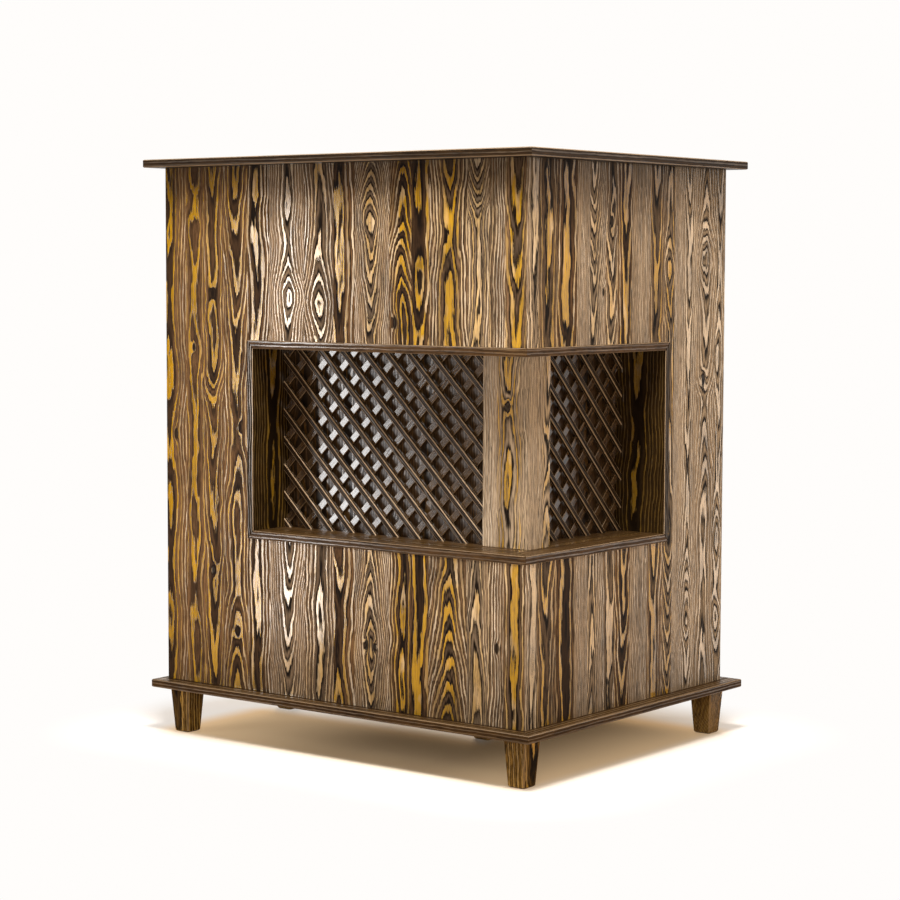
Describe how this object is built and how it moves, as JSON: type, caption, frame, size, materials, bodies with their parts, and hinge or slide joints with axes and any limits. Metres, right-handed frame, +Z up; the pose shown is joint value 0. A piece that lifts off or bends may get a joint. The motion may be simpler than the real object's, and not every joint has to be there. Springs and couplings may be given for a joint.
{
  "type": "reception desk",
  "caption": "L-shaped corner reception desk of burnt, brushed pine, with a latticed display niche round its outer corner, open shelves on the staff side and tapered square feet.",
  "frame": {"origin": "on the floor under the middle of the outline", "axes": "+Z up; -Y out of the wide front face with the longer niche opening; +X out of the side face with the shorter opening; the staff stand in the inner corner towards -X and +Y"},
  "size_m": [0.91, 0.71, 1.1],
  "materials": {
    "panel_pine": "burnt, brushed and lacquered",
    "board_pine": "burnt, brushed and lacquered",
    "lattice_pine": "stained and lacquered",
    "inner_pine": "stained and lacquered",
    "foot_pine": "burnt, brushed and lacquered"
  },
  "bodies": {
    "root": {"base_board_front": "board_pine", "base_board_side": "board_pine", "foot_front_left": "foot_pine", "foot_inner_corner": "foot_pine", "foot_outer_corner": "foot_pine", "foot_side_rear": "foot_pine", "foot_staff_left": "foot_pine", "foot_staff_rear": "foot_pine", "front_backing": "inner_pine", "front_inner_slats": "lattice_pine", "front_left_panel": "panel_pine", "front_lower_panel": "panel_pine", "front_outer_slats": "lattice_pine", "front_upper_panel": "panel_pine", "head_board_front": "board_pine", "head_board_side": "board_pine", "head_cleat_left": "inner_pine", "head_cleat_rear": "inner_pine", "left_end_panel": "panel_pine", "left_lining": "board_pine", "partition_lower": "inner_pine", "partition_middle": "inner_pine", "partition_upper": "inner_pine", "post_front_stave": "panel_pine", "post_side_stave": "panel_pine", "rear_end_panel": "panel_pine", "rear_lining": "board_pine", "side_backing": "inner_pine", "side_inner_slats": "lattice_pine", "side_lower_panel": "panel_pine", "side_outer_slats": "lattice_pine", "side_rear_panel": "panel_pine", "side_upper_panel": "panel_pine", "sill_board_front": "board_pine", "sill_board_side": "board_pine", "sill_cleat_left": "inner_pine", "sill_cleat_rear": "inner_pine", "top_board_front": "board_pine", "top_board_side": "board_pine"}
  },
  "joints": []
}
